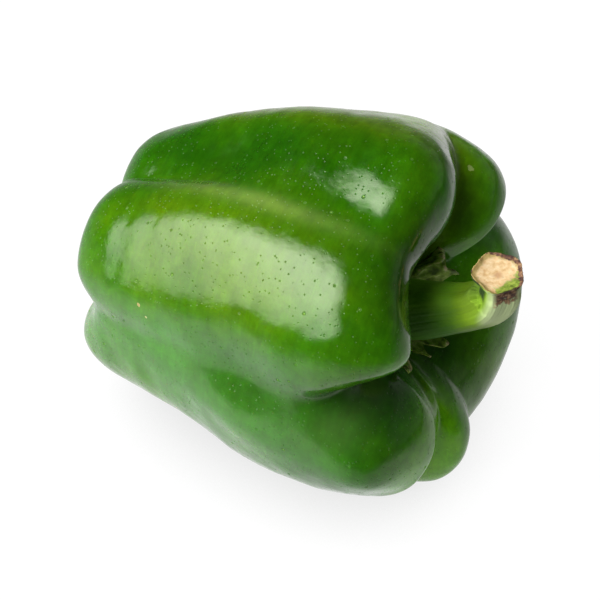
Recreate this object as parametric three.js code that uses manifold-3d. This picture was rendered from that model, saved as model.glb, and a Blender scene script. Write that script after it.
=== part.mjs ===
// A green bell pepper lying on its side: the lobed fruit, the five-pointed calyx in its stem cavity, and the stem.
// Millimetres, +Z up, front towards -Y. The fruit's axis runs along +X from the blossom end to the stem end and
// rises a little, because the shoulders are wider than the tips and both touch the surface.

import * as THREE from "three";
import { mergeVertices } from "three/addons/utils/BufferGeometryUtils.js";
import Module from "manifold-3d";

// Driving dimensions of the fruit. Heights are measured along its axis, radii out from it.
const shoulderHeight = 92;
const cavityFloorHeight = 74;
const cavityFloorRadius = 10;
const cavityMouth = 0.45; // radius of the cavity's mouth, as a share of the shoulder's radius
const dimpleDepth = 7;
const bowBack = 1.5; // how far the blossom end leans to the back
const axisRise = 12.5; // degrees that the axis rises towards the stem
const midHeight = 50;
const restFlatDepth = 0.5; // how much the low points flatten where the fruit lies on them

// The lobes, met in turn going round the axis from the front up and over: upper front, top, upper back, lower back,
// keel and lower front. Angles are in degrees from the front. tip, belly and shoulder are radii on the lobe's crest.
// edge is how far out the shoulder stays before it turns over, rise and toe move the shoulder and the tip along the
// axis, and the peaks say how pointed the lobe is across its body and across its shoulder.
const lobes = [
  { crest: 30.5, tip: 37, belly: 42.5, shoulder: 44, edge: 0.91, rise: 0, toe: 2, peaks: [0.65, 0.8] },
  { crest: 109.5, tip: 35, belly: 45, shoulder: 46.5, edge: 0.94, rise: -2.5, toe: 3.5, peaks: [0.95, 0.9] },
  { crest: 170, tip: 33, belly: 44, shoulder: 48.5, edge: 0.97, rise: -1.5, toe: 0, peaks: [0.85, 0.85] },
  { crest: 220, tip: 37, belly: 49, shoulder: 51.5, edge: 0.97, rise: 0, toe: 0, peaks: [0.85, 0.85] },
  { crest: 286, tip: 38, belly: 45.5, shoulder: 50, edge: 0.97, rise: 0, toe: 0, peaks: [0.85, 0.85] },
  { crest: 311, tip: 33, belly: 38.5, shoulder: 48.5, edge: 0.99, rise: -2, toe: -5, peaks: [1.1, 1.1] },
];

// The groove that follows each lobe: its angle at the shoulder, how far it swings round on its way to the blossom
// end, its depth at the tip, the belly and the shoulder, how far it drops the ridge between the two shoulders and
// sets the tip back, and how softly its bottom is rounded along the body and at the shoulder.
const grooves = [
  { angle: 76, swing: 12.5, tip: 5, belly: 2.5, shoulder: 3.5, saddle: 4, notch: 2, soft: [0.05, 0.33] },
  { angle: 144, swing: 10.5, tip: 3.5, belly: 3.5, shoulder: 0, saddle: 7.5, notch: 3, soft: [0.24, 0.2] },
  { angle: 176, swing: 6, tip: 5, belly: 4, shoulder: 5, saddle: 6, notch: 3.5, soft: [0.22, 0.22] },
  { angle: 272, swing: 1, tip: 5, belly: 4, shoulder: 5, saddle: 3, notch: 3.5, soft: [0.22, 0.22] },
  { angle: 298, swing: 8, tip: 5, belly: 4, shoulder: 10, saddle: 3, notch: 3.5, soft: [0.22, 0.22] },
  { angle: 367, swing: 9, tip: 3, belly: 3.5, shoulder: 5.5, saddle: 14.5, notch: 6, soft: [0.8, 0.34] },
];

// Broad swellings of the skin and, where out is negative, hollows in it.
const swellings = [
  { angle: 88, height: 71, out: -3.5 },
  { angle: 89, height: 38, out: -5 },
  { angle: 37, height: 83, out: 1 },
  { angle: 58, height: 39, out: 1 },
  { angle: 12, height: 54, out: -3 },
  { angle: 356, height: 53, out: 2.5 },
  { angle: 342, height: 89, out: 3.5 },
  { angle: 321, height: 86, out: -3 },
  { angle: 316, height: 44, out: 1.5 },
];
const swellingAngle = 16;
const swellingLength = 13;

// Driving dimensions of the calyx and the stem.
const seatGap = 0.3;
const calyxThickness = 1;
const calyxDiscRadius = 10.5;
const calyxPoints = [
  { angle: 45, length: 6.5 },
  { angle: 117, length: 7 },
  { angle: 174, length: 6 },
  { angle: 262, length: 6 },
  { angle: 333, length: 6.5 },
];
const calyxPointWidth = 19; // degrees
const calyxCurl = 1.6; // how far the points lift off the cavity's wall
const stemRibs = 5;
const firstRibAngle = 62;
const stemRibHeight = 0.3;
const cutDish = 0.7;

// The stem's centre line, chosen by hand: height along the fruit's axis, then back and up from it, with its radius.
const stemRoute = [
  { height: 76.5, back: 0, up: 0, radius: 6.4 },
  { height: 79, back: 0.3, up: 0, radius: 7.5 },
  { height: 84, back: 0.8, up: 0.6, radius: 7.1 },
  { height: 90, back: 1, up: 2.6, radius: 6.3 },
  { height: 96, back: 1, up: 5, radius: 5.6 },
  { height: 101, back: 1, up: 8.2, radius: 5.5 },
  { height: 104.2, back: 1, up: 13, radius: 5.6 },
  { height: 105.8, back: 1, up: 19.6, radius: 5.9 },
];

// How finely the skins are divided.
const columnDegrees = 5;
const fruitRows = 42;
const calyxColumns = 60;
const calyxRows = 8;
const stemColumns = 25;
const stemRows = 26;

const wasm = await Module();
wasm.setup();

const { degToRad, euclideanModulo, lerp, smoothstep } = THREE.MathUtils;

// The first groove again one turn earlier, so that every lobe lies between two grooves.
function grooveBefore(i) {
  return i > 0 ? grooves[i - 1] : { ...grooves.at(-1), angle: grooves.at(-1).angle - 360 };
}

// A lobe's cross-section, from -1 at one groove over 0 at the crest to 1 at the next: a cosine arch, more pointed for
// a higher peak and rounded off at the grooves by their softness.
function arch(x, peak, softness) {
  const soft = softness ** 2;
  const power = (square) => (square + soft) ** (peak / 2);
  const square = Math.cos((Math.PI / 2) * x) ** 2;
  return (power(square) - power(0)) / (power(1) - power(0));
}

// What a groove's bottom measures: the mean of the lobes on its two sides, less the groove's own depth there.
function grooveProfile(i) {
  const groove = grooves.at(i);
  const [near, far] = [lobes.at(i), lobes[(i + 1 + lobes.length) % lobes.length]];
  const mean = (key) => (near[key] + far[key]) / 2;
  return {
    tip: mean("tip") - groove.tip,
    belly: mean("belly") - groove.belly,
    shoulder: mean("shoulder") - groove.shoulder,
    edge: mean("edge"),
    rise: mean("rise") - groove.saddle,
    toe: mean("toe") + groove.notch,
    swing: groove.swing,
    bodySoft: groove.soft[0],
    shoulderSoft: groove.soft[1],
  };
}

// The fruit's measures at an angle round the axis: between its two grooves' bottoms they follow a smooth step, and
// the lobe's arches for the body and the shoulder lift them to the crest's own.
function profileAt(angle) {
  const first = grooveBefore(0).angle;
  const turned = euclideanModulo(angle - first, 360) + first;
  const i = grooves.findIndex((groove) => turned <= groove.angle);
  const lobe = lobes[i];
  const [from, to] = [grooveBefore(i).angle, grooves[i].angle];
  const x = (turned - lobe.crest) / (turned < lobe.crest ? lobe.crest - from : to - lobe.crest);
  const [before, after] = [grooveProfile(i - 1), grooveProfile(i)];
  const across = smoothstep(turned, from, to);
  const between = (key) => lerp(before[key], after[key], across);
  const body = arch(x, lobe.peaks[0], between("bodySoft"));
  const shoulder = arch(x, lobe.peaks[1], between("shoulderSoft"));
  return {
    tip: lerp(between("tip"), lobe.tip, body),
    belly: lerp(between("belly"), lobe.belly, body),
    shoulder: lerp(between("shoulder"), lobe.shoulder, shoulder),
    edge: lerp(between("edge"), lobe.edge, shoulder),
    top: shoulderHeight + lerp(between("rise"), lobe.rise, shoulder),
    toe: lerp(between("toe"), lobe.toe, body),
    swing: between("swing"),
  };
}

// Control points of one meridian as [height, radius], from the blossom dimple round the tip, along the side, over
// the shoulder and down the cavity's wall to its floor.
function meridianControls({ tip, belly, shoulder, edge, top, toe }) {
  const length = top - toe;
  return [
    [dimpleDepth, 0],
    [dimpleDepth - 1.2, 5],
    [toe - 1.2, 0.5 * tip],
    [toe + 0.6, 0.86 * tip],
    [toe + 0.16 * length, tip],
    [toe + 0.36 * length, 0.945 * belly],
    [toe + 0.58 * length, 0.42 * belly + 0.58 * shoulder],
    [toe + 0.8 * length, 0.985 * shoulder],
    [top - 4, edge * shoulder],
    [top + 2.5, 0.72 * shoulder],
    [top - 0.5, cavityMouth * shoulder],
    [cavityFloorHeight + 4, cavityFloorRadius + 2],
    [cavityFloorHeight, cavityFloorRadius - 2],
    [cavityFloorHeight, 0],
  ];
}

// A uniform cubic B-spline through the controls for t from 0 to 1. It meets the axis squarely at both ends, because
// each end's neighbour is mirrored in the axis.
function meridianPoint(controls, t) {
  const mirrored = ([height, radius]) => [height, -radius];
  const points = [mirrored(controls[1]), ...controls, mirrored(controls.at(-2))];
  const span = Math.min(Math.floor(t * (controls.length - 1)), controls.length - 2);
  const f = t * (controls.length - 1) - span;
  const weights = [(1 - f) ** 3, 3 * f ** 3 - 6 * f ** 2 + 4, -3 * f ** 3 + 3 * f ** 2 + 3 * f + 1, f ** 3];
  const blend = (axis) => weights.reduce((sum, weight, k) => sum + (weight * points[span + k][axis]) / 6, 0);
  return [blend(0), blend(1)];
}

// How far the swellings lift the skin at a place of it: a bell round each one, which fades out near the axis.
function swellingAt(angle, height, radius) {
  const lift = swellings.reduce((sum, swelling) => {
    const round = (euclideanModulo(angle - swelling.angle + 180, 360) - 180) / swellingAngle;
    const along = (height - swelling.height) / swellingLength;
    return sum + swelling.out * Math.exp(-(round ** 2) - along ** 2);
  }, 0);
  return lift * smoothstep(radius, 12, 28);
}

// A point at a height along the fruit's axis, a radius from it and an angle round it, before the fruit is laid down.
function aroundAxis(height, radius, angle) {
  const turn = degToRad(angle);
  return new THREE.Vector3(height - midHeight, -radius * Math.cos(turn), radius * Math.sin(turn));
}

// A point of the fruit's skin. Towards the blossom end the lobes swing round the axis and the axis bows to the back.
function fruitPoint(angle, t) {
  const profile = profileAt(angle);
  const [height, radius] = meridianPoint(meridianControls(profile), t);
  const fromStem = 1 - height / (2 * midHeight);
  const outside = radius + swellingAt(angle, height, radius);
  const point = aroundAxis(height, outside, angle + profile.swing * fromStem);
  point.y += bowBack * fromStem ** 2;
  return point;
}

// The way out of the fruit's skin at a point, from the skin's own slopes.
function fruitNormal(angle, t) {
  const [stepAngle, stepT] = [0.5, 0.002];
  const here = fruitPoint(angle, t);
  const round = fruitPoint(angle + stepAngle, t).sub(here);
  const along = fruitPoint(angle, t - stepT).sub(here);
  return round.cross(along).normalize();
}

// Where a meridian of the cavity's wall is at a radius from the axis, found by halving.
function cavityWallAt(angle, radius) {
  const controls = meridianControls(profileAt(angle));
  let [out, middle] = [0.8, 1];
  for (let i = 0; i < 24; i++) {
    const t = (out + middle) / 2;
    if (meridianPoint(controls, t)[1] > radius) out = t;
    else middle = t;
  }
  return out;
}

// A closed skin over rings with equally many points, ended by one point on each side. Its faces point outwards when
// the way along the rings, crossed with the way round them, points outwards.
function skin(start, rings, end) {
  const around = rings[0].length;
  const lastRing = 1 + (rings.length - 1) * around;
  const points = [start, ...rings.flat(), end];
  const index = [];
  for (let j = 0; j < around; j++) {
    const next = (j + 1) % around;
    index.push(0, 1 + j, 1 + next);
    for (let a = 1; a < lastRing; a += around) {
      const b = a + around;
      index.push(a + j, b + j, a + next, a + next, b + j, b + next);
    }
    index.push(lastRing + j, points.length - 1, lastRing + next);
  }
  return new THREE.BufferGeometry().setFromPoints(points).setIndex(index);
}

// The angles of the fruit's columns: each lobe is divided evenly from a groove to its crest and on to the next one.
function columnAngles() {
  return lobes.flatMap((lobe, i) => {
    const sides = [[grooveBefore(i).angle, lobe.crest], [lobe.crest, grooves[i].angle]];
    return sides.flatMap(([from, to]) => {
      const count = Math.max(3, Math.round((to - from) / columnDegrees));
      return Array.from({ length: count }, (_, k) => lerp(from, to, k / count));
    });
  });
}

function fruitGeometry() {
  const angles = columnAngles();
  const rings = Array.from({ length: fruitRows - 1 }, (_, k) =>
    angles.map((angle) => fruitPoint(angle, (k + 1) / fruitRows)),
  );
  return skin(fruitPoint(0, 0), rings, fruitPoint(0, 1));
}

// The calyx's outline: a round disc with a bell for each of its short points.
function calyxRadius(angle) {
  return calyxPoints.reduce((radius, point) => {
    const away = euclideanModulo(angle - point.angle + 180, 360) - 180;
    return radius + point.length * Math.exp(-((away / calyxPointWidth) ** 2));
  }, calyxDiscRadius);
}

// A point of the calyx at a share of the way out to its edge, raised off the cavity's wall along the wall's normal.
function calyxPoint(angle, share, raised) {
  const t = cavityWallAt(angle, share * calyxRadius(angle));
  const curl = calyxCurl * share ** 4;
  return fruitPoint(angle, t).addScaledVector(fruitNormal(angle, t), seatGap + curl + raised);
}

function calyxGeometry() {
  const shares = Array.from({ length: calyxRows }, (_, k) => (k + 1) / calyxRows);
  const ring = (share, raised) =>
    Array.from({ length: calyxColumns }, (_, j) => calyxPoint((360 * j) / calyxColumns, share, raised));
  const under = shares.map((share) => ring(share, 0));
  const over = shares.toReversed().map((share) => ring(share, calyxThickness * (1 - 0.3 * share)));
  const centre = (raised) => aroundAxis(cavityFloorHeight + seatGap + raised, 0, 0);
  return skin(centre(0), [...under, ...over], centre(calyxThickness));
}

// The stem: rings square to its centre line, with soft ribs along it, from its seat on the calyx to the dished cut.
function stemGeometry() {
  const route = stemRoute.map(({ height, back, up }) => new THREE.Vector3(height - midHeight, back, up));
  const line = new THREE.CatmullRomCurve3(route, false, "centripetal");
  const ringAt = (t, scale) => {
    const place = t * (stemRoute.length - 1);
    const near = Math.min(Math.floor(place), stemRoute.length - 2);
    const radius = lerp(stemRoute[near].radius, stemRoute[near + 1].radius, place - near);
    const along = line.getTangent(t);
    const side = new THREE.Vector3(0, -1, 0).projectOnPlane(along).normalize();
    const other = side.clone().cross(along);
    return Array.from({ length: stemColumns }, (_, j) => {
      const turn = (2 * Math.PI * j) / stemColumns;
      const rib = stemRibHeight * Math.cos(stemRibs * (turn - degToRad(firstRibAngle)));
      const outward = side.clone().multiplyScalar(Math.cos(turn)).addScaledVector(other, Math.sin(turn));
      return line.getPoint(t).addScaledVector(outward, scale * (radius + rib));
    });
  };
  const sides = Array.from({ length: stemRows }, (_, k) => ringAt(k / (stemRows - 1), 1));
  const rings = [ringAt(0, 0.6), ...sides, ringAt(1, 0.6)];
  return skin(line.getPoint(0), rings, line.getPoint(1).addScaledVector(line.getTangent(1), -cutDish));
}

function solidOf(geometry) {
  const bare = geometry.clone();
  bare.deleteAttribute("normal");
  bare.deleteAttribute("uv");
  const merged = mergeVertices(bare);
  const vertProperties = merged.attributes.position.array;
  const triVerts = new Uint32Array(merged.index.array);
  return new wasm.Manifold(new wasm.Mesh({ numProp: 3, vertProperties, triVerts }));
}

function geometryOf(solid) {
  const { vertProperties, triVerts } = solid.getMesh();
  return new THREE.BufferGeometry()
    .setAttribute("position", new THREE.BufferAttribute(vertProperties, 3))
    .setIndex(new THREE.BufferAttribute(triVerts, 1));
}

// Flattens the low points of the laid-down fruit where they would pass below the surface at z = 0.
function flattenedBelow(geometry) {
  const size = 4 * shoulderHeight;
  const ground = new THREE.BoxGeometry(size, size, size).translate(0, 0, -size / 2);
  return geometryOf(solidOf(geometry).subtract(solidOf(ground)));
}

function piece(name, geometry, colour, roughness) {
  geometry.computeVertexNormals();
  const mesh = new THREE.Mesh(geometry, new THREE.MeshStandardMaterial({ color: colour, roughness, metalness: 0 }));
  mesh.name = name;
  return mesh;
}

// Lays the fruit down: the axis rises to the stem, and the lowest point sinks restFlatDepth below the surface.
const fruit = fruitGeometry();
const lie = new THREE.Matrix4().makeRotationY(-degToRad(axisRise));
const lowest = fruit.clone().applyMatrix4(lie);
lowest.computeBoundingBox();
lie.premultiply(new THREE.Matrix4().makeTranslation(0, 0, -lowest.boundingBox.min.z - restFlatDepth));

const pepper = new THREE.Group();
pepper.add(
  piece("fruit", flattenedBelow(fruit.applyMatrix4(lie)), 0x2c7a1c, 0.25),
  piece("calyx", calyxGeometry().applyMatrix4(lie), 0x4d6428, 0.7),
  piece("stem", stemGeometry().applyMatrix4(lie), 0x6f9a35, 0.5),
);

// The origin goes under the middle of the whole pepper.
const middle = new THREE.Box3().setFromObject(pepper).getCenter(new THREE.Vector3());
pepper.position.set(-middle.x, -middle.y, 0);

export default pepper;
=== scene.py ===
import math

import bpy
import numpy as np
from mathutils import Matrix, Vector


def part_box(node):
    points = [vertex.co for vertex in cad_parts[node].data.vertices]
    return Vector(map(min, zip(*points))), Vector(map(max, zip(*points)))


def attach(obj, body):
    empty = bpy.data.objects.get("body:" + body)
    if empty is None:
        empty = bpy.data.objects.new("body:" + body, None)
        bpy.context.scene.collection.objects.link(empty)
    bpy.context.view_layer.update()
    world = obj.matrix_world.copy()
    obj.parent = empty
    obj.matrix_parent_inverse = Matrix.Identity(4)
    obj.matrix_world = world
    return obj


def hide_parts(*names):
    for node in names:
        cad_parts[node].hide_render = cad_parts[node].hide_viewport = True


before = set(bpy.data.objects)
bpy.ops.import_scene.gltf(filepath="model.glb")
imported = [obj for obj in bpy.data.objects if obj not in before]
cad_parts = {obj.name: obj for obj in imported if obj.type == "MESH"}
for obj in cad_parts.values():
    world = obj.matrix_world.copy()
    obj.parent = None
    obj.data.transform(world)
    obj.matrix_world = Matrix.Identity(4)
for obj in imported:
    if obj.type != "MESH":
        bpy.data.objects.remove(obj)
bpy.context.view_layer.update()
print("frame loaded:", sorted(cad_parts))

# Green bell pepper lying on its side. Shapes are worked
# out in millimetres and go into the meshes in metres.
mm = 0.001
allRound = 360.0


# Small helpers for colours, nodes and meshes

def linearColour(code, alpha=1.0):
    # sRGB hex to linear light: c / 12.92 below 0.04045, otherwise ((c + 0.055) / 1.055) to the power 2.4
    shares = [int(code[i:i + 2], 16) / 255 for i in (1, 3, 5)]
    return [c / 12.92 if c < 0.04045 else ((c + 0.055) / 1.055) ** 2.4 for c in shares] + [alpha]


def addNode(tree, kind, inputs=None, **settings):
    # one node with its settings; an input that is a socket is linked, any other value is set
    node = tree.nodes.new(kind)
    for name, value in settings.items():
        setattr(node, name, value)
    for name, value in (inputs or {}).items():
        if isinstance(value, bpy.types.NodeSocket):
            tree.links.new(value, node.inputs[name])
        else:
            node.inputs[name].default_value = value
    return node


def newMaterial(name):
    # an empty material with its output, ready for a surface shader
    material = bpy.data.materials.new(name)
    material.use_nodes = True
    material.node_tree.nodes.clear()
    return material, material.node_tree, addNode(material.node_tree, "ShaderNodeOutputMaterial")


def colourRamp(tree, factor, stops):
    # a ramp of (place, hex colour) stops over a factor
    ramp = addNode(tree, "ShaderNodeValToRGB", {"Fac": factor})
    while len(ramp.color_ramp.elements) < len(stops):
        ramp.color_ramp.elements.new(0.5)
    for element, (place, code) in zip(ramp.color_ramp.elements, stops):
        element.position = place
        element.color = linearColour(code)
    return ramp.outputs["Color"]


def mapRange(tree, value, fromLow, fromHigh, toLow=0.0, toHigh=1.0):
    # a value carried from one range to another with a smooth step between the ends
    inputs = {"Value": value, "From Min": fromLow, "From Max": fromHigh, "To Min": toLow, "To Max": toHigh}
    return addNode(tree, "ShaderNodeMapRange", inputs, interpolation_type="SMOOTHSTEP").outputs["Result"]


def mixColour(tree, factor, first, second):
    # two colours mixed by a factor
    node = addNode(tree, "ShaderNodeMix", data_type="RGBA", clamp_factor=True)
    for socket, value in ((node.inputs[0], factor), (node.inputs[6], first), (node.inputs[7], second)):
        if isinstance(value, bpy.types.NodeSocket):
            tree.links.new(value, socket)
        else:
            socket.default_value = value
    return node.outputs[2]


def skinFaces(rows, columns):
    # quads over a grid of rings that close round, with a fan to one more point at each
    # end; the way along the rings crossed with the way round them points outwards
    ring = np.arange(rows * columns).reshape(rows, columns)
    nextRing = np.roll(ring, -1, axis=1)
    quads = np.stack([ring[:-1], ring[1:], nextRing[1:], nextRing[:-1]], -1).reshape(-1, 4)
    start, end = rows * columns, rows * columns + 1
    startFan = np.stack([np.full(columns, start), ring[0], nextRing[0]], -1)
    endFan = np.stack([ring[-1], np.full(columns, end), nextRing[-1]], -1)
    return quads.tolist() + startFan.tolist() + endFan.tolist()


def skinPiece(name, rings, start, end, material, attributes=None):
    # a closed smooth mesh from rings of points (rows, columns, 3) in millimetres and its two end points
    rows, columns = rings.shape[:2]
    points = np.concatenate([rings.reshape(-1, 3), [start, end]]) * mm
    mesh = bpy.data.meshes.new(name)
    mesh.from_pydata(points.tolist(), [], skinFaces(rows, columns))
    for key, values in (attributes or {}).items():
        layer = mesh.attributes.new(key, "FLOAT_VECTOR" if values.ndim == 2 else "FLOAT", "POINT")
        layer.data.foreach_set("vector" if values.ndim == 2 else "value", values.astype(np.float32).ravel())
    mesh.polygons.foreach_set("use_smooth", np.ones(len(mesh.polygons), bool))
    mesh.materials.append(material)
    mesh.update()
    piece = bpy.data.objects.new(name, mesh)
    bpy.context.scene.collection.objects.link(piece)
    return piece


def ripples(points, seed, waveCount, shortest, longest, leaning):
    # a smooth random height of about -1 to 1: the sum of plane waves with
    # wavelengths between shortest and longest, whose directions are random but
    # drawn to X by leaning, so that above 1 their crests run round the fruit
    draw = np.random.default_rng(seed)
    direction = draw.normal(size=(waveCount, 3)) * np.array([leaning, 1, 1])
    direction /= np.linalg.norm(direction, axis=1, keepdims=True)
    waves = direction * (2 * math.pi / draw.uniform(shortest, longest, waveCount))[:, None]
    phase = draw.uniform(0, 2 * math.pi, waveCount)
    total = np.zeros(points.shape[:-1])
    for k in range(waveCount):
        total += np.sin(points @ waves[k] + phase[k])
    return total / math.sqrt(2 * waveCount)


# The fruit. Heights are measured along its axis, radii out from it, angles from the front up and over.
fruit = {
    "lobes": {  # upper front, top, upper back, lower back, keel, lower front
        "crest": [30.5, 109.5, 170, 220, 286, 311],
        "tip": [37, 35, 33, 37, 38, 33],
        "belly": [42.5, 45, 44, 49, 45.5, 38.5],
        "shoulder": [44, 46.5, 48.5, 51.5, 50, 48.5],
        "edge": [0.91, 0.94, 0.97, 0.97, 0.97, 0.99],  # how far out the shoulder stays before it turns over
        "rise": [0, -2.5, -1.5, 0, 0, -2],  # how far the shoulder and the tip move along the axis
        "toe": [2, 3.5, 0, 0, 0, -5],
        "bodyPeak": [0.65, 0.95, 0.85, 0.85, 0.85, 1.1],  # how pointed the lobe is across its body
        "shoulderPeak": [0.8, 0.9, 0.85, 0.85, 0.85, 1.1],  # and across its shoulder
    },
    "grooves": {  # each one follows the lobe in the same place of the lists above
        "angle": [76, 144, 176, 272, 298, 367],
        "swing": [12.5, 10.5, 6, 1, 8, 9],
        "tipDepth": [5, 3.5, 5, 5, 5, 3],
        "bellyDepth": [2.5, 3.5, 4, 4, 4, 3.5],
        "shoulderDepth": [3.5, 0, 5, 5, 10, 5.5],
        "saddle": [4, 7.5, 6, 3, 3, 14.5],
        "notch": [2, 3, 3.5, 3.5, 3.5, 6],
        "bodySoftness": [0.05, 0.24, 0.22, 0.22, 0.22, 0.8],
        "shoulderSoftness": [0.33, 0.2, 0.22, 0.22, 0.22, 0.34],
    },
    "swellings": [  # angle, height and how far the skin stands out there; a hollow where that is negative
        [88, 71, -3.5], [89, 38, -5], [37, 83, 1],
        [58, 39, 1], [12, 54, -3], [356, 53, 2.5],
        [342, 89, 3.5], [321, 86, -3], [316, 44, 1.5],
    ],
    "dents": [  # seed, number of waves, their shortest and longest length, their leaning and their height
        [248, 36, 16, 40, 1.0, 0.3],
        [27, 50, 6, 13, 2.0, 0.1],
        [5, 50, 3, 6, 1.5, 0.015],
    ],
    "rises": [[56, 18, 17, 22, 0.6], [12, 41, 23, 20, -0.6]],  # angle, height, half their widths, how far out
    # angle, height and half their widths; how much lighter
    # (as a power of 2), more lime and paler the skin is. A few are the
    # skin's own tone; many paint light and shade: lighter where the lamps
    # reach too little, darker where the skin turns from the softbox, and
    # paler and more lime where it faces or would mirror the softbox
    "tonesAndPaintedLight": [
        [48, 42, 20, 30, 0.05, 0.5, 0],  # painted light: more lime where the softbox lights the upper front lobe
        [45, 12, 25, 14, -0.35, -0.3, 0],
        [46, 87, 24, 10, -0.3, -0.2, 0],
        [68, 18, 12, 22, -0.4, -0.2, 0],
        [71.5, 52, 3.5, 24, 0.4, 0.4, 0.12],  # painted reflection: a lighter, paler strip beside the groove on top, where it would mirror the softbox
        [91, 42, 17, 38, -1.1, -0.4, 0],  # top lobe darker where it faces away from the softbox: painted shade; the three after it lighten its flank, rim and shoulder: painted light
        [118, 45, 10, 30, 0.4, 0.8, 0],
        [138, 72, 16, 20, 1.0, 0.8, 0],
        [110, 94, 18, 6, 1.3, -0.4, 0],
        [165, 90, 30, 16, 1.2, 0, 0],  # painted light: the upper back lobe and the back shoulder lighter, where the lamps reach too little
        [230, 94, 40, 12, 1.0, 0, 0],
        [298, 91, 22, 11, 1.6, 0, 0],  # painted light: shoulders below the stem lighter, standing in for fill from the right
        [356, 79, 8, 8, -0.2, -0.2, 0.06],
        [330, 75, 20, 15, -0.4, -0.5, 0],
        [355, 45, 28, 45, -0.1, -0.6, 0.03],  # between the two front lobes
        [6, 60, 8, 14, -0.6, -0.2, 0],  # painted reflection: darker blotches where the skin would mirror the dark between the softbox and the table
        [14, 32, 9, 8, 0.3, -0.4, 0.03],
        [322, 42, 10, 12, -0.4, 0, 0],
        [60, 74, 14, 14, -0.4, 0, 0],
        [105, 70, 14, 12, -0.35, 0, 0],
        [75, 97, 60, 5, 1.0, 0, 0],  # painted light: lighter shoulders, standing in for fill from the back and right
        [25, 95, 20, 6, 1.4, 0, 0],
        [322, 86, 12, 10, 0.9, 0, 0],
        [195, 88, 18, 12, 0.7, 0, 0],
    ],
    "scars": [  # angle, place along the skin, size and colour
        [25.5, 0.352, 0.8, "#9c8c58"],
        [21, 0.361, 0.5, "#a8b47c"],
        [150, 0.667, 1.3, "#a8c468"],
    ],
    "swellingAngle": 16,
    "swellingLength": 13,
    "shoulderHeight": 92,
    "cavityFloorHeight": 74,
    "cavityFloorRadius": 10,
    "cavityMouth": 0.45,
    "dimpleDepth": 7,
    "bowBack": 1.5,
    "axisRise": 12.5,
    "midHeight": 50,
    "restFlatDepth": 0.5,
    "columns": 430,
    "rows": 215,
}


def profileAt(angle):
    # the fruit's measures at each angle: a smooth step between the bottoms of
    # its two grooves, lifted to the crest by the lobe's arch, which is a cosine
    # to the power of its peak that the softness rounds off at the grooves
    lobes = {key: np.array(values, float) for key, values in fruit["lobes"].items()}
    grooves = {key: np.array(values, float) for key, values in fruit["grooves"].items()}
    before = np.roll(grooves["angle"], 1) - np.array([allRound, 0, 0, 0, 0, 0])
    turned = (angle - before[0]) % allRound + before[0]
    i = np.clip(np.searchsorted(grooves["angle"], turned, side="left"), 0, len(before) - 1)
    start, crest, stop = before[i], lobes["crest"][i], grooves["angle"][i]
    x = np.where(turned < crest, (turned - crest) / (crest - start), (turned - crest) / (stop - crest))
    across = (turned - start) / (stop - start)
    step = across * across * (3 - 2 * across)

    def between(values):
        # the smooth step from the value at the groove before to the one at the groove after
        return np.roll(values, 1)[i] * (1 - step) + values[i] * step

    def arch(part):
        # (cosine squared + softness squared) to half the
        # peak, scaled to 1 on the crest and 0 at the grooves
        square = np.cos(math.pi / 2 * x) ** 2
        soft = between(grooves[part + "Softness"]) ** 2
        half = lobes[part + "Peak"][i] / 2
        return ((square + soft) ** half - soft ** half) / ((1 + soft) ** half - soft ** half)

    body, shoulder = arch("body"), arch("shoulder")

    def measure(key, drop, lift):
        # in a groove the mean of the two lobes beside it less
        # its drop, raised by the lift to the lobe's own value
        base = between((lobes[key] + np.roll(lobes[key], -1)) / 2 - drop)
        return base + lift * (lobes[key][i] - base)

    return {
        "turned": turned,
        "tip": measure("tip", grooves["tipDepth"], body),
        "belly": measure("belly", grooves["bellyDepth"], body),
        "shoulder": measure("shoulder", grooves["shoulderDepth"], shoulder),
        "edge": measure("edge", 0, shoulder),
        "top": fruit["shoulderHeight"] + measure("rise", grooves["saddle"], shoulder),
        "toe": measure("toe", -grooves["notch"], body),
        "swing": between(grooves["swing"]),
    }


def meridian(profile, t):
    # height and radius at t of each meridian, for t of the shape (rows, 1) or (rows, angles): a uniform
    # cubic B-spline from the blossom dimple to the cavity's floor, whose ends are mirrored in the axis
    names = ("tip", "belly", "shoulder", "edge", "top", "toe")
    tip, belly, shoulder, edge, top, toe = (profile[name] for name in names)
    length = top - toe
    same = np.ones_like(tip)
    floor, floorRadius = fruit["cavityFloorHeight"] * same, fruit["cavityFloorRadius"] * same
    dimple = fruit["dimpleDepth"] * same
    controls = np.array([
        [dimple, 0 * same],
        [dimple - 1.2, 5 * same],
        [toe - 1.2, 0.5 * tip],
        [toe + 0.6, 0.86 * tip],
        [toe + 0.16 * length, tip],
        [toe + 0.36 * length, 0.945 * belly],
        [toe + 0.58 * length, 0.42 * belly + 0.58 * shoulder],
        [toe + 0.8 * length, 0.985 * shoulder],
        [top - 4, edge * shoulder],
        [top + 2.5, 0.72 * shoulder],
        [top - 0.5, fruit["cavityMouth"] * shoulder],
        [floor + 4, floorRadius + 2],
        [floor, floorRadius - 2],
        [floor, 0 * same],
    ])
    mirror = np.array([1, -1])[:, None]
    points = np.concatenate([[controls[1] * mirror], controls, [controls[-2] * mirror]])
    place = (t + 0 * same) * (len(controls) - 1)
    span = np.minimum(place.astype(int), len(controls) - 2)
    f = place - span
    weights = [(1 - f) ** 3, 3 * f ** 3 - 6 * f ** 2 + 4, -3 * f ** 3 + 3 * f ** 2 + 3 * f + 1, f ** 3]
    column = np.arange(tip.shape[-1])
    height = sum(weight * points[span + k, 0, column] for k, weight in enumerate(weights)) / 6
    radius = sum(weight * points[span + k, 1, column] for k, weight in enumerate(weights)) / 6
    for angle, along, out in fruit["swellings"]:
        away = (profile["turned"] - angle + allRound / 2) % allRound - allRound / 2
        away = (away / fruit["swellingAngle"]) ** 2 + ((height - along) / fruit["swellingLength"]) ** 2
        radius = radius + out * np.exp(-away) * smoothOn(radius, 12, 28)
    return height, radius


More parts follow.
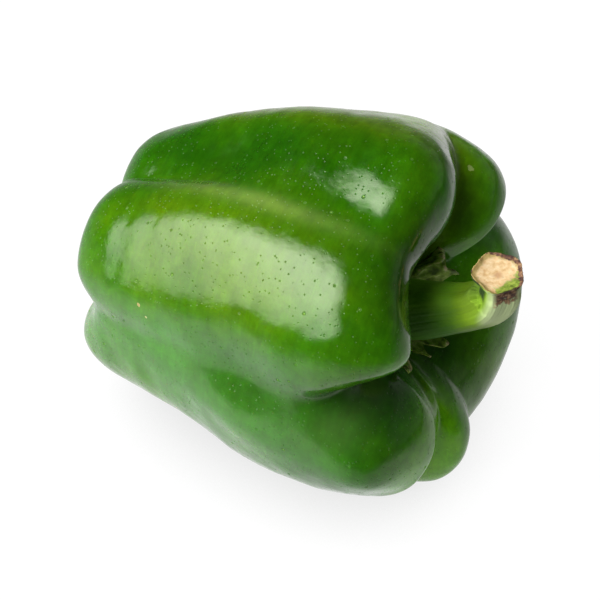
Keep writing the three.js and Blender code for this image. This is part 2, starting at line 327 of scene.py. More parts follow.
def smoothOn(value, low, high):
    # 0 below low, 1 above high, with a smooth step between
    share = np.clip((value - low) / (high - low), 0, 1)
    return share * share * (3 - 2 * share)


def aroundAxis(height, radius, angle):
    # a point at a height along the axis, a radius from it and an angle round it
    turn = np.radians(angle)
    along = height - fruit["midHeight"] + 0 * turn
    return np.stack([along, -radius * np.cos(turn), radius * np.sin(turn)], -1)


def fruitSurface(angle, t):
    # the skin at angles and at t, as a grid of points: lobes
    # swing round and the axis bows back to the blossom end
    profile = profileAt(angle)
    height, radius = meridian(profile, t)
    fromStem = 1 - height / (2 * fruit["midHeight"])
    points = aroundAxis(height, radius, angle + profile["swing"] * fromStem)
    points[..., 1] += fruit["bowBack"] * fromStem ** 2
    return points


def gridNormals(points):
    # outward normals of a grid of closed rings: the slope along the rings crossed with the slope round them
    along = np.gradient(points, axis=0)
    around = np.roll(points, -1, axis=1) - np.roll(points, 1, axis=1)
    normal = np.cross(along, around)
    return normal / np.maximum(np.linalg.norm(normal, axis=-1, keepdims=True), 1e-9)


def layDown(points, place):
    # turned about Y so that the axis rises to the stem, then moved to where the CAD fruit lies
    rise = math.radians(fruit["axisRise"])
    cosine, sine = math.cos(rise), math.sin(rise)
    x, y, z = points[..., 0], points[..., 1], points[..., 2]
    return np.stack([x * cosine - z * sine, y, x * sine + z * cosine], -1) + place


def placeOfFruit():
    # how far the laid-down formula has to move: its box is centred
    # on the CAD node's, and its low points sink by restFlatDepth
    surface = fruitSurface(np.arange(0, allRound, 1.0), np.linspace(0, 1, 200)[:, None])
    points = layDown(surface, 0).reshape(-1, 3)
    low, high = (np.array(corner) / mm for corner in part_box("fruit"))
    centre = (low + high) / 2 - (points.min(0) + points.max(0)) / 2
    return np.array([centre[0], centre[1], -points[:, 2].min() - fruit["restFlatDepth"]])


def fruitColumns():
    # angles of the columns: each lobe is divided evenly from groove to crest and from crest to groove
    crests, stops = fruit["lobes"]["crest"], fruit["grooves"]["angle"]
    edges = [stops[-1] - allRound] + [edge for pair in zip(crests, stops) for edge in pair]
    parts = []
    for start, stop in zip(edges[:-1], edges[1:]):
        count = max(12, round((stop - start) / allRound * fruit["columns"]))
        parts.append(np.linspace(start, stop, count, endpoint=False))
    return np.concatenate(parts)


def softSpot(angle, along, centre, height, wide, long):
    # 1 at a centre and a height, fading to 0 round it like a
    # bell: e to the minus square of the distance in widths
    away = (angle - centre + allRound / 2) % allRound - allRound / 2
    return np.exp(-(away / wide) ** 2 - ((along - height) / long) ** 2)


def fruitShape(place):
    # the lobed skin, moved along its normals by the sum of all ripples and soft rises, and flattened
    # where it lies on the table: its angles, its heights before it is laid down, and its points
    angle = fruitColumns()
    grid = fruitSurface(angle, np.linspace(0, 1, fruit["rows"] + 2)[:, None])
    normal = gridNormals(grid)
    along = grid[..., 0] + fruit["midHeight"]
    dents = sum(height * ripples(grid, *kind) for *kind, height in fruit["dents"])
    dents += sum(out * softSpot(angle, along, *spot) for *spot, out in fruit["rises"])
    laid = layDown(grid + normal * dents[..., None], place)
    laid[..., 2] = np.maximum(laid[..., 2], 0)
    return angle, along, laid


def makeFruit(material, shape):
    # the skin as a piece; its tone and painted light is the sum of the changes
    # of all patches, each fading round the patch's middle; many paint light and shade
    angle, along, laid = shape
    toneAndPaintedLight = np.zeros(laid.shape)
    for *spot, lightness, lime, pale in fruit["tonesAndPaintedLight"]:
        toneAndPaintedLight += softSpot(angle, along, *spot)[..., None] * np.array([lightness, lime, pale])
    ends = np.stack([toneAndPaintedLight[0, 0], toneAndPaintedLight[-1, 0]])
    toneAndPaintedLight = np.concatenate([toneAndPaintedLight[1:-1].reshape(-1, 3), ends])
    return skinPiece("pepperFruit", laid[1:-1], laid[0].mean(0), laid[-1].mean(0), material, {"toneAndPaintedLight": toneAndPaintedLight})


# The calyx: a withered crown of short points that lies
# on the cavity's floor and wall, round the stem's foot.
calyx = {
    "points": [  # angle, how far each one reaches out, its half width in degrees and how far it curls up
        [45, 5, 19, 0.8],
        [117, 7, 16, 2.4],
        [147, 7.5, 18, 2.6],
        [178, 7, 13, 2.6],
        [260, 6, 14, 3.2],
        [286, 4.5, 8, 2.2],
        [333, 6, 19, 1.0],
    ],
    "discRadius": 10.5,
    "seatGap": 0.35,
    "thickness": 0.8,
    "curl": 0.8,
    "pleat": 0.3,
    "columns": 360,
    "rows": 24,
}


def calyxOutline(angle):
    # how far the calyx reaches out and how far its edge curls up: the disc's own, and a bell at each point
    reach, curl = np.full_like(angle, calyx["discRadius"]), np.full_like(angle, calyx["curl"])
    for centre, length, width, lift in calyx["points"]:
        away = (angle - centre + allRound / 2) % allRound - allRound / 2
        bell = np.exp(-(away / width) ** 2)
        reach, curl = reach + length * bell, curl + lift * bell
    return reach, curl


def cavityWall(angle, radius):
    # points and outward normals of the cavity's wall at radii from the
    # axis: t is found by halving its range between the cavity's mouth and
    # the axis, and the normal crosses the slopes along and round the wall
    profile = profileAt(angle)
    out, middle = np.full_like(radius, 0.8), np.ones_like(radius)
    for _ in range(20):
        t = (out + middle) / 2
        outside = meridian(profile, t)[1] > radius
        out, middle = np.where(outside, t, out), np.where(outside, middle, t)
    here = fruitSurface(angle, t)
    normal = np.cross(fruitSurface(angle + 0.5, t) - here, fruitSurface(angle, t - 0.002) - here)
    return here, normal / np.linalg.norm(normal, axis=-1, keepdims=True)


def makeCalyx(material, place):
    # an underside and an upper side that stand off the wall by the gap, the
    # curl and the pleats, and the leaf's thickness, which thins to the edge
    angle = np.arange(calyx["columns"]) * allRound / calyx["columns"]
    share = (np.arange(calyx["rows"]) + 1.0)[:, None] / calyx["rows"]
    turn = np.radians(angle)
    pleats = np.sin(23 * turn + 5 * share) + 0.6 * np.sin(37 * turn - 9 * share + 1)
    reach, curl = calyxOutline(angle)
    stand = calyx["seatGap"] + curl * share ** 3 + calyx["pleat"] * (1.6 + pleats) * share ** 2
    wall, normal = cavityWall(angle, share * reach)
    under = wall + normal * stand[..., None]
    over = under + normal * (calyx["thickness"] * (1 - 0.25 * share ** 4))[..., None]
    rings = layDown(np.concatenate([under, over[::-1]]), place)
    edge = np.concatenate([share + 0 * turn, (share + 0 * turn)[::-1]]).ravel()
    floor = fruit["cavityFloorHeight"] + calyx["seatGap"]
    centres = [aroundAxis(floor, 0, 0.0), aroundAxis(floor + calyx["thickness"], 0, 0.0)]
    start, end = layDown(np.array(centres), place)
    return skinPiece("pepperCalyx", rings, start, end, material, {"edge": np.append(edge, [0, 0])})


# The stem: a ribbed stalk that bends up out of the cavity to its dished cut.
stem = {
    "height": [76.5, 79, 84, 90, 96, 101, 104.2, 105.8],
    "back": [0, 0.3, 0.8, 1, 1, 1, 1, 1],
    "up": [0, 0, 0.6, 2.6, 5, 8.2, 13, 19.6],
    "radius": [6.4, 7.5, 7.1, 6.3, 5.6, 5.5, 5.6, 5.9],
    "ribs": 5,
    "firstRib": 62,
    "ribHeight": 0.5,
    "notch": {  # under the cut
        "angle": 62, "width": 42, "depth": 2.2, "start": 5.45, "stop": 6.85, "lip": 0.12,
    },
    "neckDepth": 1.1,
    "cutDish": 0.8,
    "cutRings": [1.01, 0.97, 0.92, 0.8, 0.6, 0.4, 0.2],  # shares of the cut's radius, from the rim inwards
    "cutSinks": [-0.25, -0.15, 0.2, 0.45, 0.7, 0.8, 0.8],  # shares of the dish that each ring has sunk
    "columns": 240,
    "rows": 190,
    # the angle it faces, the cosines and then the places along between which it fades
    # in, how far its edge leans along the front, how much of it shows and its colour
    # many of these paint light and shade: the foot's top lighter, the top and the notch darker; the pale
    # front is partly its own colour
    "tonesAndPaintedLight": [
        [115, 0.2, 0.8, 4.5, 1.5, 0, 1, "#86c42c"],  # painted light: the foot's top lighter where the shoulder and calyx shade it
        [312, 0.4, 0.9, 5.1, 5.9, 0.8, 0.9, "#ccdca4"],  # pale front: partly its own colour, partly painted light on its shaded lower side
        [105, 0.4, 0.95, 3.4, 4.8, 0, 0.8, "#4c6c0a"],  # painted shade: darker on top before the step
        [55, 0.7, 0.95, 5.7, 6.0, 0, 1, "#26400a"],  # painted shade inside the notch
    ],
}


def alongRoute(values, place):
    # a Catmull-Rom curve through the values at places counted from 0, with its ends carried on straight
    values = np.array(values, float)
    ends = np.concatenate([[2 * values[0] - values[1]], values, [2 * values[-1] - values[-2]]])
    k = np.minimum(place.astype(int), len(values) - 2)
    f = place - k
    a, b, c, d = ends[k], ends[k + 1], ends[k + 2], ends[k + 3]
    return b + 0.5 * f * (c - a + f * (2 * a - 5 * b + 4 * c - d + f * (3 * (b - c) + d - a)))


def makeStem(material, place):
    # rings square to the centre line: radius, ribs and fine ridges along it, less a notch that starts
    # with a ragged step on the inside of the bend and less a narrower neck, both under the cut; then the
    # rim and the rings of the face, which shrink to the cut's middle and sink into it as a shallow dish
    rows, last = stem["rows"], len(stem["height"]) - 1
    along = np.linspace(0, last, rows)
    turn = np.arange(stem["columns"]) * 2 * math.pi / stem["columns"]
    line = np.stack([alongRoute(stem["height"], along) - fruit["midHeight"], alongRoute(stem["back"], along),
                     alongRoute(stem["up"], along)], -1)
    tangent = np.gradient(line, axis=0)
    tangent /= np.linalg.norm(tangent, axis=1, keepdims=True)
    side = np.array([0, -1, 0]) - tangent * (tangent @ np.array([0, -1, 0]))[:, None]
    side /= np.linalg.norm(side, axis=1, keepdims=True)
    other = np.cross(side, tangent)
    outward = side[:, None] * np.cos(turn)[:, None] + other[:, None] * np.sin(turn)[:, None]
    at = along[:, None]
    ribs = np.cos(stem["ribs"] * (turn - math.radians(stem["firstRib"])))
    ribHeight = stem["ribHeight"] * (0.5 + 0.5 * smoothOn(at, 2, 5) - 0.3 * smoothOn(at, 6, 7))
    ridges = 0.03 * np.sin(31 * turn + 2 * np.sin(at)) + 0.02 * np.sin(53 * turn)
    notch = stem["notch"]
    away = (np.degrees(turn) - notch["angle"] + allRound / 2) % allRound - allRound / 2
    ragged = 0.07 * np.sin(9 * turn) + 0.04 * np.sin(23 * turn + 1)
    step = smoothOn(at + ragged, notch["start"], notch["start"] + 0.15)
    step = step * (1 - smoothOn(at, notch["stop"] - 0.15, notch["stop"]))
    collar = notch["lip"] * np.exp(-((at - notch["start"] + 0.25) / 0.35) ** 2)
    neck = stem["neckDepth"] * smoothOn(at, 6.2, 6.5) * (1 - smoothOn(at, 6.75, 6.9))
    dip = np.exp(-(away / notch["width"]) ** 2) * (notch["depth"] * step - collar) + neck * (1 - 0.6 * step)
    radius = np.interp(along, np.arange(last + 1), stem["radius"])[:, None]
    reach = radius + ribHeight * ribs + ridges - dip
    sides = line[:, None] + outward * reach[..., None]
    shares, sink = np.array(stem["cutRings"]), np.array(stem["cutSinks"]) * stem["cutDish"]
    lumps = 0.2 * np.sin(9 * turn + 1) * np.sin(4 * turn)
    face = line[-1] + outward[-1] * (reach[-1][:, None] * shares[:, None, None])
    face = face - tangent[-1] * (sink[:, None] + lumps * (shares[:, None] > 0.9))[..., None]
    foot = line[0] + outward[0] * (0.6 * reach[0])[:, None]
    grid = np.concatenate([foot[None], sides, face])
    start, end = line[0], line[-1] - tangent[-1] * stem["cutDish"]
    mark = np.concatenate([np.zeros((1, len(turn))), at + 0 * turn, last + 1 - shares[:, None] + 0 * turn])
    around = np.stack([np.cos(turn) + 0 * mark, np.sin(turn) + 0 * mark, mark], -1).reshape(-1, 3)
    around = np.concatenate([around, [[0, 0, 0], [0, 0, last + 1]]])
    ends = layDown(np.array([start, end]), place)
    return skinPiece("pepperStem", layDown(grid, place), ends[0], ends[1], material, {"around": around})


# Materials

def noise(tree, coords, size, detail=2.0):
    # smooth noise from 0 to 1 with lumps of about size millimetres
    inputs = {"Vector": coords, "Scale": 1 / (size * mm), "Detail": detail}
    return addNode(tree, "ShaderNodeTexNoise", inputs).outputs["Fac"]


def mathNode(tree, operation, *values):
    # an operation on sockets or plain values; MULTIPLY_ADD is the first times the second plus the third
    return addNode(tree, "ShaderNodeMath", dict(enumerate(values)), operation=operation).outputs["Value"]


def bumpNode(tree, height, depth, normal=None):
    # the normal of a surface whose height varies by depth
    # millimetres, on top of another bump if there is one
    inputs = {"Height": height, "Distance": depth * mm}
    if normal:
        inputs["Normal"] = normal
    return addNode(tree, "ShaderNodeBump", inputs).outputs["Normal"]


def pores(tree, coords, cell, radius, share):
    # small round marks, one at a random place in some of the
    # cells: 1 inside them, 0 outside; sizes in millimetres
    cells = addNode(tree, "ShaderNodeTexVoronoi", {"Vector": coords, "Scale": 1 / (cell * mm)}).outputs
    chance = addNode(tree, "ShaderNodeSeparateColor", {"Color": cells["Color"]}).outputs["Red"]
    chosen = mathNode(tree, "LESS_THAN", chance, share)
    mark = mapRange(tree, cells["Distance"], radius / cell * 0.6, radius / cell * 1.4, 1, 0)
    return mathNode(tree, "MULTIPLY", mark, chosen)


skin = {  # sizes in millimetres
    "patch": [22, 3],  # size and detail of each pattern
    "mottle": [3, 4],
    "streak": [5, 2],
    "grain": [0.7, 1],
    "strengths": [1.4, 1.1, 0.6, 0.3],  # how much lighter each pattern makes the skin, as a power of 2
    "lightness": -1.6,  # and how light the skin is without them
    "greens": ["#256502", "#4a6503"],  # plain and lime
    # the patches' pale colour, used mostly for a painted reflection beside the top groove
    "paleTint": "#b3c884",
    "smallPores": [1.25, 0.2, 0.85],  # size of their cells, their radius and the share of cells with one
    "largePores": [4.0, 0.45, 0.5],
    "poreMiddle": [0.2, "#7ea648"],  # radius and colour
    "poreGroups": 14,
    "poreDepth": 0.05,
    "poreRoughness": 0.8,
    "waxRoughness": [0.08, 0.18],  # where it mirrors most sharply and least
    "waxPatch": [12, 3],
    "waves": [5, 0.16],  # length and height
    "grainHeight": 0.012,
}


def pepperSkin(shape):
    # Green bell pepper skin, grown, with a thin clear wax: deep green, more lime at random,
    # mottled and very finely streaked round the fruit. Patches paint light and shade on it:
    # lighter and more lime where the softbox lights the front, darker where it turns away,
    # lighter on rims and shoulders the lamps reach too little, and a pale painted reflection
    # beside the top groove. Dull pores in loose groups, the large ones with a pale middle,
    # and a few small corky scars.
    # The uneven wax mirrors the lights a little wavily, more sharply in some places
    material, tree, output = newMaterial("waxedGreenPepperSkin")
    coords = addNode(tree, "ShaderNodeTexCoord").outputs["Object"]
    toneAndPaintedLight = addNode(tree, "ShaderNodeAttribute", attribute_name="toneAndPaintedLight").outputs["Vector"]
    toneAndPaintedLight = addNode(tree, "ShaderNodeSeparateXYZ", {"Vector": toneAndPaintedLight}).outputs
    long = addNode(tree, "ShaderNodeMapping", {"Vector": coords, "Scale": (6, 1, 1)}).outputs["Vector"]
    patch, mottle, grain = (noise(tree, coords, *skin[name]) for name in ("patch", "mottle", "grain"))
    streak = noise(tree, long, *skin["streak"])

    lightness = skin["lightness"]
    for pattern, strength in zip((patch, mottle, streak, grain), skin["strengths"]):
        lightness = mathNode(tree, "MULTIPLY_ADD", pattern, strength, lightness)
    # the patches' lightness: painted light and shade on rims, shoulders and faces turned from the softbox,
    # and some of the skin's own tone
    lightness = mathNode(tree, "ADD", lightness, toneAndPaintedLight["X"])
    # more lime at random and where the patches say, partly painted light on the lit front
    lime = mathNode(tree, "MULTIPLY_ADD", patch, 1.2, toneAndPaintedLight["Y"])
    hue = mixColour(tree, mapRange(tree, lime, 0.0, 1.4), *map(linearColour, skin["greens"]))
    power = mathNode(tree, "POWER", 2.0, lightness)
    inputs = {0: hue, "Scale": power}
    green = addNode(tree, "ShaderNodeVectorMath", inputs, operation="SCALE").outputs["Vector"]
    # paler where the patches say, mostly a painted reflection in the strip beside the top groove
    green = mixColour(tree, toneAndPaintedLight["Z"], green, linearColour(skin["paleTint"]))

    groups = mapRange(tree, noise(tree, coords, skin["poreGroups"], 1), 0.34, 0.46)
    small = mathNode(tree, "MULTIPLY", pores(tree, coords, *skin["smallPores"]), groups)
    cell, radius, share = skin["largePores"]
    middleRadius, middleCode = skin["poreMiddle"]
    large, middle = pores(tree, coords, cell, radius, share), pores(tree, coords, cell, middleRadius, share)
    green = mixColour(tree, mathNode(tree, "MULTIPLY", middle, 0.8), green, linearColour(middleCode))
    pore = mathNode(tree, "MAXIMUM", small, large)
    angles, _, points = shape
    for centre, along, size, code in fruit["scars"]:
        spot = points[round(along * len(points)), np.argmin(np.abs(angles - centre))] * mm
        inputs = {0: coords, 1: tuple(spot)}
        away = addNode(tree, "ShaderNodeVectorMath", inputs, operation="DISTANCE").outputs["Value"]
        ragged = mathNode(tree, "MULTIPLY_ADD", grain, 0.8 * size * mm, away)
        scar = mapRange(tree, ragged, 0.9 * size * mm, 1.1 * size * mm, 1, 0)
        green = mixColour(tree, scar, green, linearColour(code))
        pore = mathNode(tree, "MAXIMUM", pore, scar)

    wax = mapRange(tree, noise(tree, long, *skin["waxPatch"]), 0.35, 0.65, *skin["waxRoughness"])
    roughness = mathNode(tree, "MAXIMUM", wax, mathNode(tree, "MULTIPLY", pore, skin["poreRoughness"]))
    waveSize, waveHeight = skin["waves"]
    bump = bumpNode(tree, noise(tree, coords, waveSize, 2), waveHeight)
    bump = bumpNode(tree, grain, skin["grainHeight"], bump)
    bump = bumpNode(tree, mathNode(tree, "MULTIPLY", pore, -1.0), skin["poreDepth"], bump)
    shader = addNode(tree, "ShaderNodeBsdfPrincipled", {
        "Base Color": green, "Roughness": roughness, "IOR": 1.48, "Specular Tint": linearColour("#f4ffe0"),
        "Normal": bump, "Subsurface Weight": 0.08, "Subsurface Scale": 2 * mm,
    })
    tree.links.new(shader.outputs["BSDF"], output.inputs["Surface"])
    return material


def witheredCalyx():
    # Withered green leaf tissue, grown and half dried: blotched olive and lime,
    # lighter than its own colour as painted light where the cavity shades it,
    # with thin tan dried edges; dull
    material, tree, output = newMaterial("witheredCalyxLeaf")
    coords = addNode(tree, "ShaderNodeTexCoord").outputs["Object"]
    edge = addNode(tree, "ShaderNodeAttribute", attribute_name="edge").outputs["Fac"]
    blotch = noise(tree, coords, 3, 5)
    # lighter than the leaf's own colour: painted light where the cavity shades it
    leaf = colourRamp(tree, blotch, [(0.36, "#5a7416"), (0.5, "#98b83a"), (0.62, "#cfe088")])
    dried = colourRamp(tree, blotch, [(0.3, "#94803f"), (0.6, "#cfc088")])
    colour = mixColour(tree, mapRange(tree, mathNode(tree, "ADD", edge, blotch), 1.5, 1.6), leaf, dried)
    shader = addNode(tree, "ShaderNodeBsdfPrincipled", {
        "Base Color": colour, "Roughness": 0.6, "Normal": bumpNode(tree, blotch, 0.7),
    })
    tree.links.new(shader.outputs["BSDF"], output.inputs["Surface"])
    return material


def stalkSkin():
    # Green stalk, grown, with a smooth satin skin: deep green from the foot, lime before the
    # step, pale on the front; partly its own colour and partly painted light and shade: darker
    # at the foot in the cavity's shade, lime where the lamp reaches, the foot's top lighter where
    # the shoulder shades it, darker on top before the step and inside the notch. Its end was cut:
    # pale dry pith, olive near the rim and moist and green on one side, with a brown corky rim
    # that is thin on the left and wide on the right, and a torn brown patch below it. The stalk's
    # own marks are its place along, which is 7 at the cut's edge and 8 in its middle, and the
    # cosine and sine of the angle round it
    material, tree, output = newMaterial("cutPepperStalk")
    coords = addNode(tree, "ShaderNodeTexCoord").outputs["Object"]
    around = addNode(tree, "ShaderNodeAttribute", attribute_name="around").outputs["Vector"]
    along = addNode(tree, "ShaderNodeSeparateXYZ", {"Vector": around}).outputs["Z"]
    fine, broad = noise(tree, coords, 1.0, 5), noise(tree, coords, 6, 3)

    def facing(angle):
        # the cosine of the angle between this place and one at the given angle round the stalk
        inputs = {0: around, 1: (math.cos(math.radians(angle)), math.sin(math.radians(angle)), 0)}
        return addNode(tree, "ShaderNodeVectorMath", inputs, operation="DOT_PRODUCT").outputs["Value"]

    def both(first, second):
        # the product of two shares, so that only where both hold it is near 1
        return mathNode(tree, "MULTIPLY", first, second)

    # deep green at the foot to lime further out: partly its own colour, partly painted shade in the cavity
    # and painted light where the lamp reaches
    uneven = mathNode(tree, "MULTIPLY_ADD", broad, 2.0, along)
    bright = mapRange(tree, uneven, 3.8, 6.0)
    green = mixColour(tree, bright, linearColour("#437a0c"), linearColour("#7ca018"))
    front = facing(300)
    for angle, faint, full, start, stop, lean, shown, code in stem["tonesAndPaintedLight"]:
        leaning = mathNode(tree, "MULTIPLY_ADD", front, lean, along)
        patch = both(mapRange(tree, facing(angle), faint, full), mapRange(tree, leaning, start, stop))
        green = mixColour(tree, both(patch, shown), green, linearColour(code))
    bark = colourRamp(tree, fine, [(0.35, "#3a2018"), (0.5, "#6e4c34"), (0.65, "#a08058")])
    frayed = mathNode(tree, "ADD", along, fine)
    torn = both(mapRange(tree, facing(315), 0.8, 0.93), mapRange(tree, frayed, 6.7, 6.9))
    green = mixColour(tree, torn, green, bark)

    pith = colourRamp(tree, fine, [(0.3, "#c09a66"), (0.5, "#d2b486"), (0.7, "#dcc69e")])
    middle = mapRange(tree, mathNode(tree, "MULTIPLY_ADD", fine, 0.4, along), 7.95, 8.15)
    pith = mixColour(tree, both(middle, 0.6), pith, linearColour("#a06c42"))
    fromMiddle = mathNode(tree, "SUBTRACT", 8.0, along)
    outer = mapRange(tree, mathNode(tree, "MULTIPLY_ADD", fine, 0.4, fromMiddle), 0.95, 1.1)
    pith = mixColour(tree, both(outer, 0.8), pith, linearColour("#94803a"))
    wet = colourRamp(tree, fine, [(0.35, "#465408"), (0.5, "#647a1a"), (0.65, "#8c9c38")])
    moist = mathNode(tree, "MULTIPLY_ADD", fine, 0.9, both(fromMiddle, facing(292)))
    pith = mixColour(tree, mapRange(tree, moist, 0.78, 1.08), pith, wet)

    colour = mixColour(tree, mapRange(tree, along, 6.98, 7.0), green, pith)
    ring = mathNode(tree, "ABSOLUTE", mathNode(tree, "SUBTRACT", along, 7.01))
    ring = mathNode(tree, "MULTIPLY_ADD", fine, 0.3, ring)
    width = mapRange(tree, facing(215), -0.2, 0.9, 0.12, 0.3)
    corky = mapRange(tree, mathNode(tree, "SUBTRACT", ring, width), -0.02, 0.02, 1, 0)
    colour = mixColour(tree, corky, colour, bark)
    shader = addNode(tree, "ShaderNodeBsdfPrincipled", {
        "Base Color": colour, "Roughness": mapRange(tree, along, 4.4, 5.0, 0.5, 0.8),
        "Normal": bumpNode(tree, fine, 0.12),
    })
    tree.links.new(shader.outputs["BSDF"], output.inputs["Surface"])
    return material


# The stage: camera, floor and lights

camera = {
    "azimuth": 25.0, "elevation": 52.0, "distance": 670.0, "pixelsPerMm": 4.10, "across": -0.25, "up": 3.0,
    "frameWidth": 600, "sensorWidth": 36.0,
}


def viewAxes(azimuth, elevation):
    # the directions to the viewer, to the right and up for a
    # view from an azimuth (0 looks along +Y) and elevation
    a, e = math.radians(azimuth), math.radians(elevation)
    back = Vector((math.sin(a) * math.cos(e), -math.cos(a) * math.cos(e), math.sin(e)))
    right = Vector((math.cos(a), math.sin(a), 0))
    return back, right, back.cross(right)


def makeCamera(place):
    # the lens that gives pixelsPerMm at the fruit's middle,
    # aimed a little beside it as the photograph is framed
    back, right, up = viewAxes(camera["azimuth"], camera["elevation"])
    data = bpy.data.cameras.new("camera")
    data.sensor_width = camera["sensorWidth"]
    data.lens = camera["sensorWidth"] * camera["pixelsPerMm"] * camera["distance"] / camera["frameWidth"]
    data.clip_start, data.clip_end = 0.01, 20
    eye = bpy.data.objects.new("camera", data)
    middle = Vector(place) - right * camera["across"] - up * camera["up"]
    eye.location = (middle + back * camera["distance"]) * mm
    eye.rotation_euler = (-back).to_track_quat("-Z", "Y").to_euler()
    bpy.context.scene.collection.objects.link(eye)
    bpy.context.scene.camera = eye


studio = {
    "softbox": {"azimuth": -58, "elevation": 35, "halfWidth": 0.55, "halfHeight": 0.68, "roll": -35},
    "softness": {"left": 0.25, "right": 0.1, "low": 0.06, "high": 0.45},  # of the softbox's edges
    "radiance": 7.2,
    "brighter": {"left": 0.45, "high": 0.65},  # how much brighter it is at those edges than in its middle
    "dark": 0.03,
    "fill": {"azimuth": 150, "radiance": 0.25},  # the faint glow low down behind
    "tableHalf": 4.0,  # metres
    "tableSeen": {"open": 1.0, "shaded": 0.7, "reach": 32},  # far from and near the pepper, millimetres
    "tableLit": [  # where lights fall on the table, how far from there the glow has halved, the glow; metres
        [-0.06, -0.13, 0.12, 1.5],
        [0.02, 0.18, 0.07, 0.9],
        [0.15, -0.03, 0.05, 0.5],
    ],
}


def makeFloor():
    # a pale table top that glows, with a painted contact shadow: as the camera sees it, the glow is lower
    # close to the pepper; mirrored in the skin, it is the sum of painted pools of light as under small lamps,
    # each one glow / (1 + (distance / fade) squared)
    material, tree, output = newMaterial("paleLitTable")
    spot = addNode(tree, "ShaderNodeTexCoord").outputs["Object"]
    lit = 0.0
    for x, y, fade, glow in studio["tableLit"]:
        inputs = {0: spot, 1: (x, y, 0)}
        away = addNode(tree, "ShaderNodeVectorMath", inputs, operation="DISTANCE").outputs["Value"]
        share = mathNode(tree, "DIVIDE", away, fade)
        fading = mathNode(tree, "DIVIDE", glow, mathNode(tree, "MULTIPLY_ADD", share, share, 1.0))
        lit = mathNode(tree, "ADD", fading, lit)
    tableSeen = studio["tableSeen"]
    reach = {"Distance": tableSeen["reach"] * mm}
    # painted contact shadow: near the pepper the glow the camera sees falls from open to shaded
    clear = addNode(tree, "ShaderNodeAmbientOcclusion", reach, samples=6).outputs["AO"]
    seenGlow = mapRange(tree, clear, 0.0, 0.8, tableSeen["shaded"], tableSeen["open"])
    seen = addNode(tree, "ShaderNodeLightPath").outputs["Is Camera Ray"]
    glow = mathNode(tree, "MULTIPLY_ADD", seen, mathNode(tree, "SUBTRACT", seenGlow, lit), lit)
    shader = addNode(tree, "ShaderNodeBsdfPrincipled", {
        "Base Color": linearColour("#303030"), "Roughness": 0.8, "Specular IOR Level": 0.1,
        "Emission Color": linearColour("#ffffff"), "Emission Strength": glow,
    })
    tree.links.new(shader.outputs["BSDF"], output.inputs["Surface"])
    half = studio["tableHalf"]
    mesh = bpy.data.meshes.new("tableTop")
    corners = [(-half, -half, 0), (half, -half, 0), (half, half, 0), (-half, half, 0)]
    mesh.from_pydata(corners, [], [(0, 1, 2, 3)])
    mesh.materials.append(material)
    floor = bpy.data.objects.new("tableTop", mesh)
    bpy.context.scene.collection.objects.link(floor)


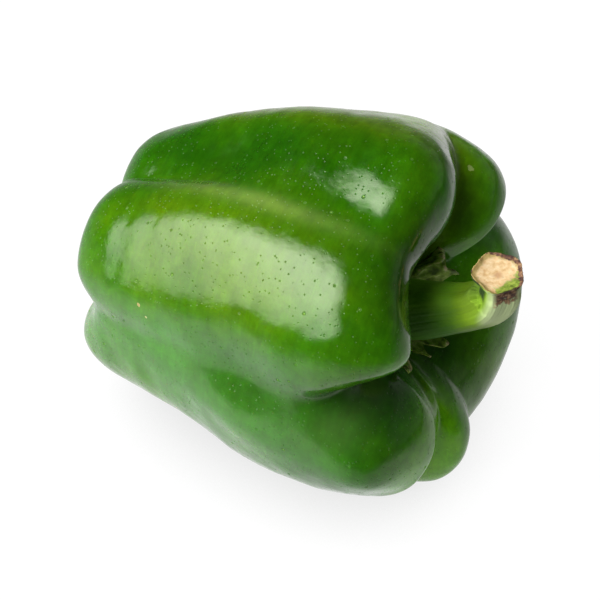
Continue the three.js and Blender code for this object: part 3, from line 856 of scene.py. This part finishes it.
def makeWorld():
    # a dark studio with one flat softbox at the left and a faint glow low down behind. A direction
    # meets the softbox's plane at u to the right and v up, each one the direction along that axis
    # over the direction along its middle; within its soft edges the light is radiance times
    # (1 - left u / halfWidth) times (1 + high v / halfHeight). A camera ray sees white instead
    world = bpy.data.worlds.new("studio")
    world.use_nodes = True
    tree = world.node_tree
    tree.nodes.clear()
    box, softness, brighter, fill = (studio[key] for key in ("softbox", "softness", "brighter", "fill"))
    middle, level, upright = viewAxes(box["azimuth"], box["elevation"])
    roll = math.radians(box["roll"])
    right = level * math.cos(roll) + upright * math.sin(roll)
    up = upright * math.cos(roll) - level * math.sin(roll)
    direction = addNode(tree, "ShaderNodeTexCoord").outputs["Generated"]

    def alongAxis(axis):
        # the cosine of the angle between the direction and an axis
        inputs = {0: direction, 1: tuple(axis)}
        return addNode(tree, "ShaderNodeVectorMath", inputs, operation="DOT_PRODUCT").outputs["Value"]

    def inside(place, half, near, far):
        # 1 within half of the middle, fading over the edge on the near side and the one on the far side
        rise = mapRange(tree, place, -half - near, -half + near)
        return mathNode(tree, "MULTIPLY", rise, mapRange(tree, place, half - far, half + far, 1, 0))

    forward = alongAxis(middle)
    depth = mathNode(tree, "MAXIMUM", forward, 0.001)
    u = mathNode(tree, "DIVIDE", alongAxis(right), depth)
    v = mathNode(tree, "DIVIDE", alongAxis(up), depth)
    light = mathNode(tree, "MULTIPLY", mathNode(tree, "GREATER_THAN", forward, 0.0), studio["radiance"])
    betweenSides = inside(u, box["halfWidth"], softness["left"], softness["right"])
    betweenEnds = inside(v, box["halfHeight"], softness["low"], softness["high"])
    light = mathNode(tree, "MULTIPLY", light, betweenSides)
    light = mathNode(tree, "MULTIPLY", light, betweenEnds)
    across = mathNode(tree, "MULTIPLY_ADD", u, -brighter["left"] / box["halfWidth"], 1.0)
    upwards = mathNode(tree, "MULTIPLY_ADD", v, brighter["high"] / box["halfHeight"], 1.0)
    light = mathNode(tree, "MULTIPLY", light, mathNode(tree, "MULTIPLY", across, upwards))
    low = mapRange(tree, alongAxis((0, 0, 1)), 0.0, 0.5, 1, 0)
    behind = mapRange(tree, alongAxis(viewAxes(fill["azimuth"], 0)[0]), 0.5, 0.95)
    low = mathNode(tree, "MULTIPLY", low, behind)
    side = mathNode(tree, "MULTIPLY_ADD", low, fill["radiance"], studio["dark"])
    seen = addNode(tree, "ShaderNodeLightPath").outputs["Is Camera Ray"]
    strength = mathNode(tree, "MAXIMUM", mathNode(tree, "ADD", light, side), seen)
    inputs = {"Color": linearColour("#ffffff"), "Strength": strength}
    background = addNode(tree, "ShaderNodeBackground", inputs)
    output = addNode(tree, "ShaderNodeOutputWorld")
    tree.links.new(background.outputs["Background"], output.inputs["Surface"])
    bpy.context.scene.world = world


place = placeOfFruit()
makeCamera(place)
makeFloor()
makeWorld()
bpy.context.scene.view_settings.view_transform = "Standard"
print("stage ready")

shape = fruitShape(place)
fruitPiece = makeFruit(pepperSkin(shape), shape)
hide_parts("fruit")
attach(fruitPiece, "root")
print("fruit ready:", len(fruitPiece.data.polygons), "faces")

calyxPiece = makeCalyx(witheredCalyx(), place)
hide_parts("calyx")
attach(calyxPiece, "root")
print("calyx ready:", len(calyxPiece.data.polygons), "faces")

stemPiece = makeStem(stalkSkin(), place)
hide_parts("stem")
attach(stemPiece, "root")
print("stem ready:", len(stemPiece.data.polygons), "faces")
